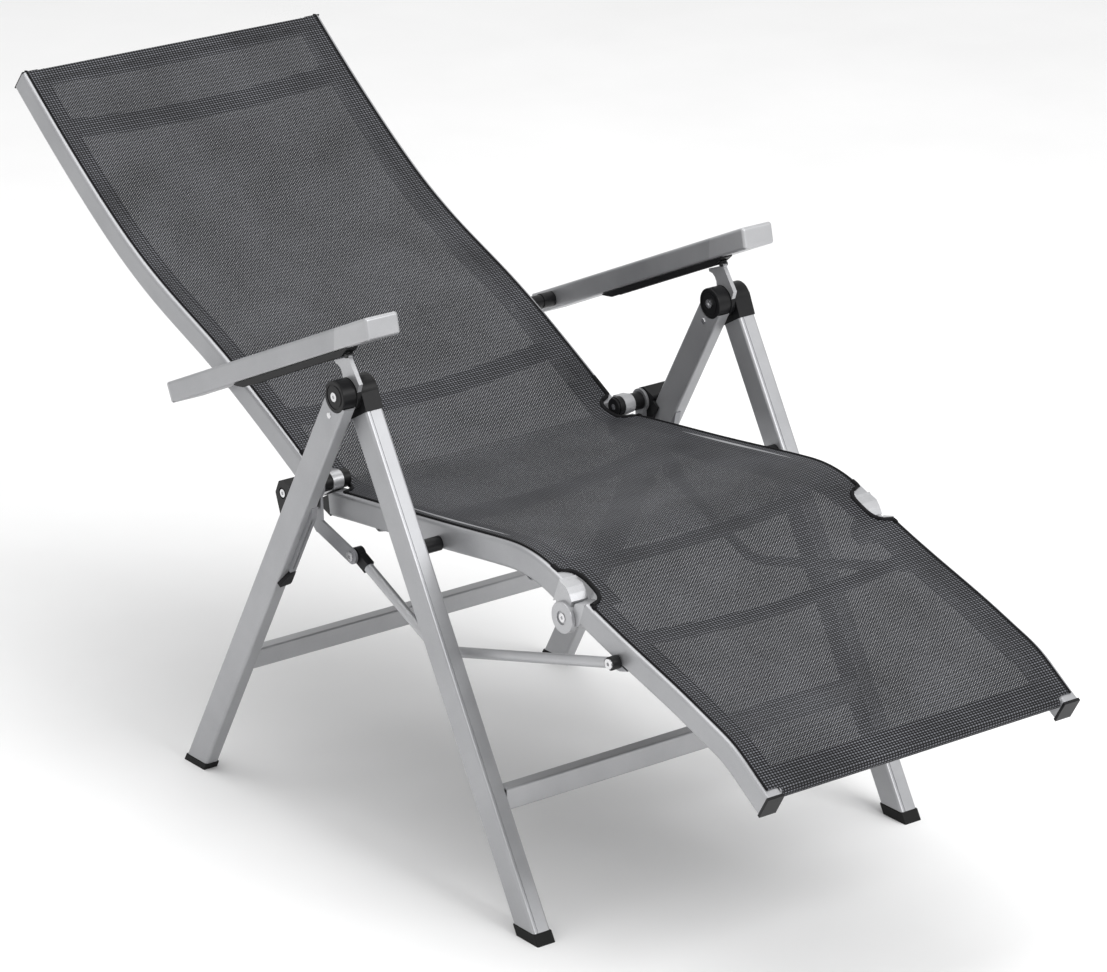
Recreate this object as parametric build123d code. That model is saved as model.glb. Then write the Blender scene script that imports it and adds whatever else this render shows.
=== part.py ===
from build123d import *
import math
import os

os.makedirs("parts", exist_ok=True)

# ---------------------------------------------------------------- driving dimensions (mm)
# Working frame: x = 0 at the middle of the sling, y = 0 at the top leg hinge (+y to the rear),
# z = 0 on the ground. Everything is moved to the middle of the outline when it is written out.
XC, YC = 3.2, 60.18

PA = (0.0, 618.0)        # top leg hinge
PB = (-106.3, 437.0)     # seat pivot on the front legs
PC = (135.0, 447.0)      # rear hinge: backrest, seat and slide housing
PD = (360.0, 526.0)      # armrest pivot on the back rail
PE = (-365.0, 421.0)     # front hinge: footrest on seat
PF = (58.0, 372.0)       # rear end of the link rod
PG = (-471.0, 398.0)     # front end of the link rod
PP = (1.5, 667.5)        # catch pin under the armrest

FOOT_F, FOOT_R = (-363.0, 0.0), (345.0, 0.0)   # where the leg lines meet the ground
LEG_F_N = (-20.5, 16.5)  # front leg depth either side of its line
LEG_R_N = (-23.0, 17.0)  # rear leg depth either side of its line
WALL = 1.6               # tube wall

RAIL_OUT, RAIL_IN = 246.5, 221.5     # sling rails, outer and inner face from the middle
RAIL_H, FOOT_H = 17.0, 16.0          # half height of the seat/back rails and the footrest rails
ARM_H = 14.2                         # half height of an armrest
CLOTH = 1.4                          # sling thickness
RUN = 0.05                           # radial running clearance of a bolt in a moving piece
BOLT_R = 4.0

SIDES = {
    "left": dict(rear=(-328.5, -308.5), front=(-301.5, -275.5), blade=(-307.3, -301.5), arm=(-313.5, -263.5),
                 out=-1, head=-1, s=-1),
    "right": dict(rear=(271.5, 291.5), front=(298.5, 324.5), blade=(292.7, 298.5), arm=(286.5, 336.5),
                  out=1, head=-1, s=1),
}

BACK_LINE = [(172, 427), (290, 490), (405, 545), (520, 591), (600, 630), (700, 693), (790, 758), (862, 814)]
SEAT_LINE = [(134, 417), (29, 430), (-57, 440), (-150, 452), (-234, 463), (-275, 466), (-316, 461), (-348, 451)]
FOOT_LINE = [(-398, 434), (-473, 410), (-532, 393), (-589, 376), (-640, 359), (-675, 346), (-705, 328), (-742, 304)]



# ---------------------------------------------------------------- helpers
def unit(a, b):
    d = math.hypot(b[0] - a[0], b[1] - a[1])
    return ((b[0] - a[0]) / d, (b[1] - a[1]) / d)


UF = unit(PA, FOOT_F)
NF = (UF[1], -UF[0])      # forward normal of the front legs
UR = unit(PA, FOOT_R)
NR = (-UR[1], UR[0])      # rearward normal of the rear legs
AX = (-math.cos(math.radians(25)), math.sin(math.radians(25)))   # armrest, rear to front
AB = (math.sin(math.radians(25)), math.cos(math.radians(25)))    # armrest, underside to top


def at(o, u, n, s, d):
    return (o[0] + u[0] * s + n[0] * d, o[1] + u[1] * s + n[1] * d)


def prism(pts, x0, x1):
    face = make_face(Polyline(*pts, close=True))
    lo, hi = min(x0, x1), max(x0, x1)
    return extrude(Plane.YZ.offset(lo) * face, amount=hi - lo)


def cyl(c, r, x0, x1):
    lo, hi = min(x0, x1), max(x0, x1)
    return extrude(Plane.YZ.offset(lo) * (Pos(c[0], c[1]) * Circle(r)), amount=hi - lo)


def long_edges(solid, direction):
    d = Vector(0, direction[0], direction[1]).normalized()
    out = []
    for e in solid.edges():
        if e.geom_type == GeomType.LINE:
            t = (e @ 1 - e @ 0).normalized()
            if abs(t.dot(d)) > 0.999:
                out.append(e)
    return out


def soften(solid, edges, r):
    for q in (r, r * 0.6, r * 0.35):
        try:
            out = fillet(edges, q)
            if out.is_valid:
                return out
        except ValueError:
            pass
    return solid


def x_edges(solid):
    return [e for e in solid.edges()
            if e.geom_type == GeomType.LINE and abs((e @ 1 - e @ 0).normalized().X) > 0.999]


def curve_pts(line, off, n=28):
    c = Spline(*line)
    pts = []
    for i in range(n + 1):
        t = i / n
        p, d = c @ t, c % t
        pts.append((p.X - d.Y * off, p.Y + d.X * off))
    return pts


def end_pts(line, half, i):
    # lower and upper corner of a rail at its first (0) or last (-1) end
    pair = (curve_pts(line, -half)[i], curve_pts(line, half)[i])
    return sorted(pair, key=lambda q: q[1])


def band(line, lo, hi, x0, x1):
    a, b = curve_pts(line, lo), curve_pts(line, hi)
    wire = [Spline(*a), Line(a[-1], b[-1]), Spline(*b[::-1]), Line(b[0], a[0])]
    face = make_face(wire)
    l, h = min(x0, x1), max(x0, x1)
    return extrude(Plane.YZ.offset(l) * face, amount=h - l)


def rail(line, half, x0, x1, r=4.5):
    solid = band(line, -half, half, x0, x1)
    solid = soften(solid, solid.edges().filter_by(GeomType.BSPLINE), r)
    lo, hi = min(x0, x1), max(x0, x1)
    core = band(line, -half + WALL, half - WALL, lo + WALL, hi - WALL)
    return solid - core


def bowed(c, bow, r, half=RAIL_IN, wall=1.5, oval=None):
    # cross tube bent towards `bow` in its middle, cut to the inner faces of the rails; round, or
    # oval with its long half axis (length, direction)
    e = 1.03
    k = e * e - 1
    a = (-half * e, c[0] - bow[0] * k, c[1] - bow[1] * k)
    m = (0, c[0] + bow[0], c[1] + bow[1])
    b = (half * e, c[0] - bow[0] * k, c[1] - bow[1] * k)
    path = ThreePointArc(a, m, b)
    if oval:
        pl = Plane(origin=path @ 0, x_dir=(0, oval[1][0], oval[1][1]), z_dir=path % 0)
        tube = sweep(pl * Ellipse(oval[0], r), path) - sweep(pl * Ellipse(oval[0] - wall, r - wall), path)
    else:
        pl = Plane(origin=path @ 0, z_dir=path % 0)
        tube = sweep(pl * Circle(r), path) - sweep(pl * Circle(r - wall), path)
    return tube & Box(2 * half, 4000, 4000)


def straight(c, r, half=RAIL_IN, wall=1.5):
    return cyl(c, r, -half, half) - cyl(c, r - wall, -half - 1, half + 1)


def bolt(c, x_head, x_tip, head_r=6.5, head_h=2.5):
    # a pan head outside x_head with a hexagon socket, shank to x_tip
    s = 1 if x_tip > x_head else -1
    b = cyl(c, BOLT_R, x_head, x_tip) + cyl(c, head_r, x_head - s * head_h, x_head)
    sock = Plane.YZ.offset(x_head - s * head_h) * (Pos(c[0], c[1]) * RegularPolygon(2.6, 6))
    return b - extrude(sock, amount=s * head_h * 0.8)


def write(node, *solids):
    moved = [Pos(-XC, -YC, 0) * v for shape in solids for v in shape.solids()]
    shape = moved[0] if len(moved) == 1 else Compound(children=moved)
    shape.label = node
    export_step(shape, "parts/%s.step" % node)


KEPT = {}


def keep(node, *solids):
    # gathers the left and right copies of a piece under one name
    KEPT.setdefault(node, []).extend(solids)


def one(shape):
    s = shape.solids()
    return s[0] if len(s) == 1 else shape


# ---------------------------------------------------------------- front frame
def front_leg(x0, x1, inner):
    n0, n1 = LEG_F_N
    h = 14.0
    top = 30.0
    low = lambda d: (618 + NF[1] * d - h) / -UF[1]
    p = [at(PA, UF, NF, top, n0), at(PA, UF, NF, low(n0), n0), at(PA, UF, NF, low(n1), n1), at(PA, UF, NF, top, n1)]
    leg = prism(p, x0, x1)
    leg = soften(leg, long_edges(leg, UF), 3.5)
    c = [at(PA, UF, NF, top - 5, n0 + WALL), at(PA, UF, NF, 760, n0 + WALL), at(PA, UF, NF, 760, n1 - WALL),
         at(PA, UF, NF, top - 5, n1 - WALL)]
    leg = leg - prism(c, x0 + WALL, x1 - WALL)
    g = [at(PA, UF, NF, top - 5, n1 - 0.7), at(PA, UF, NF, 760, n1 - 0.7), at(PA, UF, NF, 760, n1 + 1),
         at(PA, UF, NF, top - 5, n1 + 1)]
    leg = leg - prism(g, x0 + 5.5, x0 + 6.9)
    return leg - cyl(PB, BOLT_R, inner - WALL - 1, inner + WALL + 1)


def foot_pad(u, n_axis, n0, n1, x0, x1, h, grow=0.9):
    z = lambda d, hh: (618 + n_axis[1] * d - hh) / -u[1]
    a, b = n0 - grow, n1 + grow
    p = [at(PA, u, n_axis, z(a, h), a), at(PA, u, n_axis, z(a, 0), a), at(PA, u, n_axis, z(b, 0), b),
         at(PA, u, n_axis, z(b, h), b)]
    pad = prism(p, x0 - grow, x1 + grow)
    pad = soften(pad, [e for e in pad.edges() if (e @ 0).Z > 1 or (e @ 1).Z > 1], 1.6)
    p2 = [at(PA, u, n_axis, z(n0 + WALL + .05, h + 14), n0 + WALL + .05), at(PA, u, n_axis, z(n0 + WALL + .05, h - 1), n0 + WALL + .05),
          at(PA, u, n_axis, z(n1 - WALL - .05, h - 1), n1 - WALL - .05), at(PA, u, n_axis, z(n1 - WALL - .05, h + 14), n1 - WALL - .05)]
    return pad + prism(p2, x0 + WALL + .05, x1 - WALL - .05)


def front_cap(x0, x1, b0, b1):
    # the barrel reaches from b0 to b1, past the leg to the rear frame's hub
    n0, n1 = LEG_F_N
    body = cyl(PA, 21.0, b0, b1)
    body = soften(body, body.edges().filter_by(GeomType.CIRCLE), 1.5)
    p = [at(PA, UF, NF, 0, n0 - 0.4), at(PA, UF, NF, 30, n0 - 0.4), at(PA, UF, NF, 30, n1 + 0.9),
         at(PA, UF, NF, 0, 20.8)]
    body = body + prism(p, x0, x1)
    q = [at(PA, UF, NF, 20, n0 + WALL + .05), at(PA, UF, NF, 52, n0 + WALL + .05), at(PA, UF, NF, 52, n1 - WALL - .05),
         at(PA, UF, NF, 20, n1 - WALL - .05)]
    body = body + prism(q, x0 + WALL + .05, x1 - WALL - .05)
    return body - cyl(PA, BOLT_R, b0 - 1, b1 + 1)


def blade(x0, x1):
    pts = [(-23.6, 635.6), (-2.5, 664.0), (-3.2, 666.0), (0.5, 670.2), (3.5, 670.6), (5.0, 668.4), (6.5, 663.3), (28.5, 654.6),
           (27.0, 651.0), (20.5, 650.2), (15.5, 646.5), (12.2, 641.0), (11.0, 633.0)]
    b = prism(pts, x0, x1) + cyl(PA, 17.0, x0, x1)
    fill = [(-23.6, 635.6), (11.0, 633.0), (12.0, 618.0), (-15.0, 611.0)]
    b = b + prism(fill, x0, x1)
    return b - cyl(PA, BOLT_R, x0 - 1, x1 + 1)


blades, a_bolts, b_bolts = {}, [], []
for side, k in SIDES.items():
    x0, x1 = k["front"]
    write("front_leg_" + side, front_leg(x0, x1, x0 if k["s"] > 0 else x1))
    bx0, bx1 = k["blade"]
    mid = (bx0 + bx1) / 2
    blades[side] = blade(bx0, bx1) - cyl(PP, 3.0, bx0 - 1, bx1 + 1)
    keep("front_top_caps", front_cap(x0, x1, bx0 - 0.8, x1) - blade(bx0, bx1) - cyl(PA, 17.0, bx0, bx1))
    keep("catch_blades", blades[side])
    k["pin"] = cyl(PP, 3.0, mid - 5.2, mid + 5.2)
    a_bolts.append(bolt(PA, k["rear"][0], x1 + 3, head_r=6.0, head_h=1.6) + cyl(PA, 9.0, x1, x1 + 3))
    inner = -1 if k["s"] > 0 else 1
    face = x0 if k["s"] > 0 else x1
    spacer = cyl(PB, 9.5, face, k["s"] * (RAIL_OUT + 0.3))
    keep("seat_pivot_spacers", spacer - cyl(PB, BOLT_R, -400, 400))
    wall_in = face + k["s"] * WALL
    tip = k["s"] * (RAIL_OUT - WALL - 5.0)
    b_bolts.append(bolt(PB, wall_in, tip, head_r=6.5, head_h=2.2))
write("catch_pins", SIDES["left"]["pin"], SIDES["right"]["pin"])
write("top_hinge_bolts", *a_bolts)
write("seat_pivot_bolts", *b_bolts)

write("front_feet", *[foot_pad(UF, NF, *LEG_F_N, *k["front"], 14.0) for k in SIDES.values()])


def crossbar(c, x0, x1, high, deep=20.0):
    """A level rectangular tube between two legs, its middle at c."""
    def box(w, h):
        return [(c[0] - w / 2, c[1] - h / 2), (c[0] + w / 2, c[1] - h / 2), (c[0] + w / 2, c[1] + h / 2), (c[0] - w / 2, c[1] + h / 2)]
    bar = prism(box(deep, high), x0, x1)
    bar = soften(bar, x_edges(bar), 3.0)
    return bar - prism(box(deep - 2 * WALL, high - 2 * WALL), x0 - 1, x1 + 1)


write("front_crossbar", crossbar(at(PA, UF, NF, 537, 3.5), SIDES["left"]["front"][1], SIDES["right"]["front"][0], 30.0))


# ---------------------------------------------------------------- rear frame
def rear_leg(x0, x1):
    n0, n1 = LEG_R_N
    h = 10.0
    low = lambda d: (618 + NR[1] * d - h) / -UR[1]
    p = [at(PA, UR, NR, 3, n0), at(PA, UR, NR, low(n0), n0), at(PA, UR, NR, low(n1), n1), at(PA, UR, NR, 3, n1)]
    leg = prism(p, x0, x1)
    leg = soften(leg, long_edges(leg, UR), 3.5)
    leg = leg - cyl(PA, 20.9, x0 - 1, x1 + 1)
    c = [at(PA, UR, NR, 0, n0 + WALL), at(PA, UR, NR, 760, n0 + WALL), at(PA, UR, NR, 760, n1 - WALL),
         at(PA, UR, NR, 0, n1 - WALL)]
    leg = leg - prism(c, x0 + WALL, x1 - WALL)
    r = at(PA, UR, NR, 30, -3)
    leg = leg - cyl(r, 2.5, x0 - 1, x1 + 1)
    s = sorted(leg.solids(), key=lambda v: -v.volume)
    return s[0]


def rear_hub(x0, x1):
    n0, n1 = LEG_R_N
    hub = cyl(PA, 20.5, x0, x1)
    hub = soften(hub, hub.edges().filter_by(GeomType.CIRCLE), 1.2)
    hub = hub - (cyl(PA, 16.5, x0 - 1, x0 + 0.7) - cyl(PA, 14.0, x0 - 1, x0 + 0.7))
    q = [at(PA, UR, NR, 15, n0 + WALL + .05), at(PA, UR, NR, 48, n0 + WALL + .05), at(PA, UR, NR, 48, n1 - WALL - .05),
         at(PA, UR, NR, 15, n1 - WALL - .05)]
    hub = hub + (prism(q, x0 + WALL + .05, x1 - WALL - .05) - cyl(PA, 20.95, x0 - 5, x1 + 5)
                 + (prism([at(PA, UR, NR, 12, -10), at(PA, UR, NR, 26, -10), at(PA, UR, NR, 26, 5), at(PA, UR, NR, 12, 5)],
                          x0 + 4, x1 - 4)))
    r = at(PA, UR, NR, 30, -3)
    return hub - cyl(PA, BOLT_R + RUN, x0 - 2, x1 + 2) - cyl(r, 2.5, x0 - 2, x1 + 2)


rivets = []
for side, k in SIDES.items():
    x0, x1 = k["rear"]
    write("rear_leg_" + side, rear_leg(x0, x1))
    keep("rear_hubs", rear_hub(x0, x1))
    r = at(PA, UR, NR, 30, -3)
    dome = cyl(r, 4.2, x0 - 1.2, x0)
    dome = soften(dome, [e for e in dome.edges() if e.geom_type == GeomType.CIRCLE and abs((e @ 0).X - (x0 - 1.2)) < 0.01], 0.9)
    rivets.append(cyl(r, 2.5, x0, x1) + dome)
    inner = x1 if k["s"] < 0 else x0
    d = -1 if k["s"] < 0 else 1
    g0, g1 = inner + d * 0.4, inner + d * 9.0
    n0 = LEG_R_N[0]
    strip = prism([at(PA, UR, NR, 184, n0), at(PA, UR, NR, 300, n0), at(PA, UR, NR, 300, n0 - 5.5), at(PA, UR, NR, 198, n0 - 5.5),
                   at(PA, UR, NR, 184, n0 - 1)], g0, g1)
    groove = prism([at(PA, UR, NR, 202, n0 - 4.3), at(PA, UR, NR, 294, n0 - 4.3), at(PA, UR, NR, 294, n0 - 8),
                    at(PA, UR, NR, 202, n0 - 8)], inner + d * 5.0, inner + d * 6.8)
    strip = strip - groove
    keep("guide_strips", strip)
    corner = lambda x, s, n: (inner + d * x,) + at(PA, UR, NR, s, n)
    wedge = make_face(Polyline(corner(0.2, 300, n0), corner(4.5, 300, n0), corner(19.0, 322, n0), corner(17.5, 325, n0),
                               corner(1.5, 323, n0), corner(0.2, 320, n0), close=True))
    tip = extrude(wedge, amount=6.3, dir=(0, -NR[0], -NR[1]))
    tip = soften(tip, [e for e in tip.edges() if abs(((e @ 1 - e @ 0).normalized()).dot(Vector(0, NR[0], NR[1]))) > 0.99
                       and abs((e @ 0).X - inner) > 15], 1.2)
    keep("guide_tips", one(tip))
write("rear_hub_rivets", *rivets)
write("rear_feet", *[foot_pad(UR, NR, *LEG_R_N, *k["rear"], 10.0) for k in SIDES.values()])
write("rear_crossbar", crossbar(at(PA, UR, NR, 500, -2.0), SIDES["left"]["rear"][1], SIDES["right"]["rear"][0], 26.0))


# ---------------------------------------------------------------- slide housings on the rear hinge
def housing(side, k):
    s = k["s"]
    sC = (PC[0] - PA[0]) * UR[0] + (PC[1] - PA[1]) * UR[1]
    nC = (PC[0] - PA[0]) * NR[0] + (PC[1] - PA[1]) * NR[1]
    lo = LEG_R_N[1] + 0.8
    pts = [at(PA, UR, NR, sC - 21, lo), at(PA, UR, NR, sC + 36, lo), at(PA, UR, NR, sC + 30, lo + 6),
           at(PA, UR, NR, sC + 10, nC + 12.5), at(PA, UR, NR, sC - 9, nC + 14), at(PA, UR, NR, sC - 17, nC + 8)]
    body = prism(pts, s * 267.3, s * 318.0)
    body = soften(body, x_edges(body), 3.5)
    x_in = k["rear"][1] if s < 0 else k["rear"][0]
    cheek_n = [at(PA, UR, NR, sC - 15, lo + 4), at(PA, UR, NR, sC + 22, lo + 4), at(PA, UR, NR, sC + 20, LEG_R_N[1] - 12),
               at(PA, UR, NR, sC - 13, LEG_R_N[1] - 12)]
    if s < 0:
        cheek = prism(cheek_n, x_in + 0.6, x_in + 12.0)
    else:
        cheek = prism(cheek_n, 267.3, x_in - 0.6)
    body = body + cheek
    body = body - (cyl(PC, 7.5, s * 316.0, s * 330.0))
    return body - cyl(PC, BOLT_R, -400, 400)


c_bolts = []
for side, k in SIDES.items():
    keep("slide_housings", housing(side, k))
    c_bolts.append(bolt(PC, k["s"] * 316.0, k["s"] * 218.2, head_r=5.4, head_h=2.0))
write("rear_hinge_bolts", *c_bolts)

# ---------------------------------------------------------------- seat
SEAT_BOWS = [((-262, 440), (0, -16)), ((60, 405), (0, -22))]
b_c = []
for side, k in SIDES.items():
    s = k["s"]
    r = rail(SEAT_LINE, RAIL_H, s * RAIL_IN, s * RAIL_OUT)
    sweep_room = cyl(PC, 13.6, s * 229.9, s * 250) + prism([(118, 440), (128.6, 433.0), (150, 420), (190, 409), (190, 475), (118, 475)],
                                                           s * 229.9, s * 250)
    r = r - sweep_room
    r = r - cyl(PB, BOLT_R + RUN, s * 210, s * 250)
    write("seat_rail_" + side, one(r))
    # rear fitting: plug, block and the lobe that carries the hinge bolt
    e0, e1 = end_pts(SEAT_LINE, RAIL_H, 0)
    blk = prism([e0, (148, 406), (155, 422), (150, 436), e1], s * RAIL_IN, s * RAIL_OUT)
    lobe = cyl(PC, 12.8, s * RAIL_IN, s * 229.7) + prism([e1, e0, (148, 406), (147.8, 447), (122.2, 447)], s * RAIL_IN, s * 229.7)
    fit = (blk + lobe) - sweep_room
    railbody = band(SEAT_LINE, -RAIL_H, RAIL_H, s * (RAIL_IN - 1), s * (RAIL_OUT + 1))
    fit = fit - railbody
    fit = fit - cyl(PC, BOLT_R + RUN, -400, 400)
    keep("seat_rear_fittings", one(sorted(fit.solids(), key=lambda v: -v.volume)[0]))
    # front knuckle: cast block on the rail end with the ear that carries the footrest
    f0, f1 = end_pts(SEAT_LINE, RAIL_H, -1)
    blk = prism([f0, f1, (-357, 464.0), (-368, 460.5), (-374.5, 453), (-379.0, 445), (-377.5, 441.8), (-366, 441.2), (-352, 439)],
                s * 222.0, s * 247.5)
    blk = soften(blk, [e for e in x_edges(blk) if (e @ 0).Y < -360 and (e @ 0).Z > 450], 3.0)
    blk = blk - railbody
    ear = cyl(PE, 20.5, s * 243.0, s * 252.5)
    ear = soften(ear, [e for e in ear.edges() if e.geom_type == GeomType.CIRCLE and abs(abs((e @ 0).X) - 252.5) < 0.01], 1.5)
    neck = prism([(-346, 424), (-376, 424), (-377.5, 441.8), (-350, 450)], s * 243.0, s * 247.5) - railbody
    kn = blk + ear + neck
    kn = kn - cyl(PE, 9.0, s * 250.2, s * 260)
    kn = kn - cyl(PE, BOLT_R, -400, 400)
    keep("seat_front_knuckles", one(sorted(kn.solids(), key=lambda v: -v.volume)[0]))
keep("seat_cross_tubes", bowed(SEAT_BOWS[0][0], SEAT_BOWS[0][1], 9.5))
keep("seat_cross_tubes", bowed(SEAT_BOWS[1][0], SEAT_BOWS[1][1], 9.5))
e_bolts = [bolt(PE, k["s"] * 250.2, k["s"] * 222.5, head_r=5.8, head_h=1.6) for k in SIDES.values()]
write("front_hinge_bolts", *e_bolts)

# ---------------------------------------------------------------- backrest
for side, k in SIDES.items():
    s = k["s"]
    r = rail(BACK_LINE, RAIL_H, s * RAIL_IN, s * RAIL_OUT)
    r = r - cyl(PD, BOLT_R, s * 210, s * 250)
    write("back_rail_" + side, one(r))
    g0, g1 = end_pts(BACK_LINE, RAIL_H, 0)
    kn = cyl(PC, 12.8, s * 230.1, s * 246.4) + prism([(130, 435.2), (150, 422), g0, g1, (150, 457), (135, 459.8)], s * 230.1, s * 246.4)
    kn = kn + prism([g0, g1, (162, 436), (172, 413)], s * RAIL_IN, s * RAIL_OUT)
    kn = kn - band(BACK_LINE, -RAIL_H, RAIL_H, s * (RAIL_IN - 5), s * (RAIL_OUT + 1))
    kn = kn - cyl(PC, BOLT_R + RUN, -400, 400)
    keep("back_knuckles", one(sorted(kn.solids(), key=lambda v: -v.volume)[0]))
    # link arm plate with its bend, and the spacer behind it
    pl = prism([(125, 447), (122.5, 396), (126, 386), (134, 382), (141, 388), (145, 447)], s * 262.5, s * 266.5)
    pl = pl + cyl(PC, 16.0, s * 262.5, s * 266.5)
    u = unit((131, 393), PF)
    n = (-u[1], u[0])
    pl = pl + prism([at((131, 393), u, n, -6, -10.2), at(PF, u, n, 0, -10.2), at(PF, u, n, 0, 10.2), at((131, 393), u, n, -4, 10.2)],
                    s * 262.5, s * 266.5)
    pl = pl + cyl(PF, 10.2, s * 262.5, s * 266.5) + cyl((131, 393), 10.2, s * 262.5, s * 266.5)
    pl = pl - cyl(PC, BOLT_R + RUN, -400, 400) - cyl(PF, BOLT_R, -400, 400)
    keep("link_arms", one(pl))
write("link_arm_spacers", *[cyl(PC, 12.0, k["s"] * 246.8, k["s"] * 262.5) - cyl(PC, BOLT_R + RUN, -400, 400) for k in SIDES.values()])
write("rod_rear_bolts", *[bolt(PF, k["s"] * 266.5, k["s"] * 249.4, head_r=6.8, head_h=3.0) for k in SIDES.values()])
TOP_DIR = unit(BACK_LINE[-2], BACK_LINE[-1])
TOP_N = (-TOP_DIR[1], TOP_DIR[0])
top_c = at(BACK_LINE[-1], TOP_DIR, TOP_N, -9, 5.5)
head_c = at((792, 760), TOP_DIR, TOP_N, 0, -4)
lum_c = (292, 483)
write("back_top_bar", bowed(top_c, (TOP_N[0] * -9, TOP_N[1] * -9), 9.0))
keep("back_cross_tubes", bowed(head_c, (TOP_N[0] * -20, TOP_N[1] * -20), 8.0, oval=(15.5, TOP_DIR)))
keep("back_cross_tubes", bowed(lum_c, (12, -23), 8.0, oval=(15.5, unit(BACK_LINE[0], BACK_LINE[2]))))
caps = []
for k in SIDES.values():
    s = k["s"]
    e0, e1 = end_pts(BACK_LINE, RAIL_H, -1)
    a, b = at(e0, TOP_DIR, TOP_N, 1.6, 0), at(e1, TOP_DIR, TOP_N, 1.6, 0)
    cap = prism([e0, e1, b, a], s * (RAIL_IN + .3), s * (RAIL_OUT))
    caps.append(cap)
write("back_end_caps", *caps)
d_bolts = []
for k in SIDES.values():
    s = k["s"]
    arm_in = k["arm"][1] if s < 0 else k["arm"][0]
    d_bolts.append(bolt(PD, s * RAIL_IN, arm_in + s * 12.0, head_r=6.5, head_h=2.2))
write("arm_pivot_bolts", *d_bolts)

# ---------------------------------------------------------------- footrest
for side, k in SIDES.items():
    s = k["s"]
    write("foot_rail_" + side, one(rail(FOOT_LINE, FOOT_H, s * RAIL_IN, s * RAIL_OUT)))
    low, high = end_pts(FOOT_LINE, FOOT_H, 0)
    kn = cyl(PE, 16.5, s * RAIL_IN, s * 240.4)
    kn = kn + prism([(-372, 404.8), low, high, (-376, 440.2), (-373, 437)], s * RAIL_IN, s * 240.4)
    flap = make_face(Polyline((s * 222.0, -376.5, 440.3), (s * 212.5, -379, 441.3), (s * 222.0, -391, 446.8), close=True))
    kn = kn + extrude(flap, amount=-3.0, dir=(0, 0, 1))
    kn = kn + prism([(-374, 404.8), low, high, (-384, 443.9), (-381.5, 437)], s * RAIL_IN, s * RAIL_OUT)
    foot_body = band(FOOT_LINE, -FOOT_H, FOOT_H, s * (RAIL_IN - 5), s * (RAIL_OUT + 1))
    kn = (kn - foot_body) - cyl(PE, 20.9, s * 240.9, s * 260)
    kn = kn - cyl(PE, BOLT_R + RUN, -400, 400)
    keep("foot_knuckles", one(sorted(kn.solids(), key=lambda v: -v.volume)[0]))
    # bracket for the link rod under the rail
    br = prism([(-452, 412), (-458, 389), (-463, 385), (-472, 385), (-484, 388.5), (-508, 395), (-512, 400)], s * 236.0, s * 246.2)
    br = br - foot_body
    keep("link_brackets", one(sorted(br.solids(), key=lambda v: -v.volume)[0]))
FOOT_DIR = unit(FOOT_LINE[-2], FOOT_LINE[-1])
FOOT_N = (FOOT_DIR[1], -FOOT_DIR[0])
foot_end = at(FOOT_LINE[-1], FOOT_DIR, FOOT_N, -9, 8)
keep("foot_cross_tubes", straight(foot_end, 7.4))
keep("foot_cross_tubes", bowed((-452, 412), (-4, -14), 9.0))
caps = []
for k in SIDES.values():
    s = k["s"]
    e0, e1 = end_pts(FOOT_LINE, FOOT_H, -1)
    a, b = at(e0, FOOT_DIR, FOOT_N, 4, 0), at(e1, FOOT_DIR, FOOT_N, 4, 0)
    cap = prism([e0, e1, b, a], s * RAIL_IN, s * RAIL_OUT)
    caps.append(cap)
write("foot_end_caps", *caps)
write("front_hinge_washers", *[cyl(PE, 11.0, k["s"] * 240.7, k["s"] * 242.7) - cyl(PE, BOLT_R + RUN, -400, 400) for k in SIDES.values()])
write("rear_hinge_bushes", *[cyl(PC, 11.5, k["s"] * 218.2, k["s"] * 221.2) - cyl(PC, BOLT_R + RUN, -400, 400) for k in SIDES.values()])

# ---------------------------------------------------------------- link rods
ROD_X, ROD_R = 255.0, 6.8
KNEE = (-114.0, 296.0)
for side, k in SIDES.items():
    s = k["s"]
    u1, u2 = unit(PF, KNEE), unit(KNEE, PG)
    p0 = at(PF, u1, (0, 0), 26, 0)
    p1 = at(PG, u2, (0, 0), -10, 0)
    path = FilletPolyline((s * ROD_X, p0[0], p0[1]), (s * ROD_X, KNEE[0], KNEE[1]), (s * ROD_X, p1[0], p1[1]), radius=85)
    pl = Plane(origin=path @ 0, z_dir=path % 0)
    rod = sweep(pl * Circle(ROD_R), path) - sweep(pl * Circle(ROD_R - 1.5), path)
    keep("link_rods", one(rod))
    # plastic ends: a flat eye and a shank that sleeves over or plugs the tube
    n1 = (-u1[1], u1[0])
    eye = cyl(PF, 10.5, s * 249.4, s * 260.4)
    sl = prism([at(PF, u1, n1, 0, -7.9), at(PF, u1, n1, 26, -7.9), at(PF, u1, n1, 26, 7.9), at(PF, u1, n1, 0, 7.9)], s * 249.4, s * 260.4)
    end = eye + sl
    plug = Plane(origin=(s * ROD_X, p0[0], p0[1]), z_dir=(0, u1[0], u1[1])) * Circle(ROD_R - 1.55)
    end = end + extrude(plug, amount=14) - cyl(PF, BOLT_R + RUN, -400, 400)
    keep("rod_rear_ends", one(end))
    eye = cyl(PG, 8.6, s * 249.0, s * 260.4)
    plug = Plane(origin=(s * ROD_X, p1[0], p1[1]), z_dir=(0, -u2[0], -u2[1])) * Circle(ROD_R - 1.55)
    cyls = Plane(origin=(s * ROD_X, p1[0], p1[1]), z_dir=(0, u2[0], u2[1])) * Circle(5.2)
    end = eye + extrude(plug, amount=14) + extrude(cyls, amount=8)
    end = end - cyl(PG, BOLT_R, -400, 400)
    keep("rod_front_ends", one(end))
write("rod_front_bolts", *[bolt(PG, k["s"] * 260.4, k["s"] * 246.9, head_r=6.6, head_h=3.0) for k in SIDES.values()])
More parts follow.
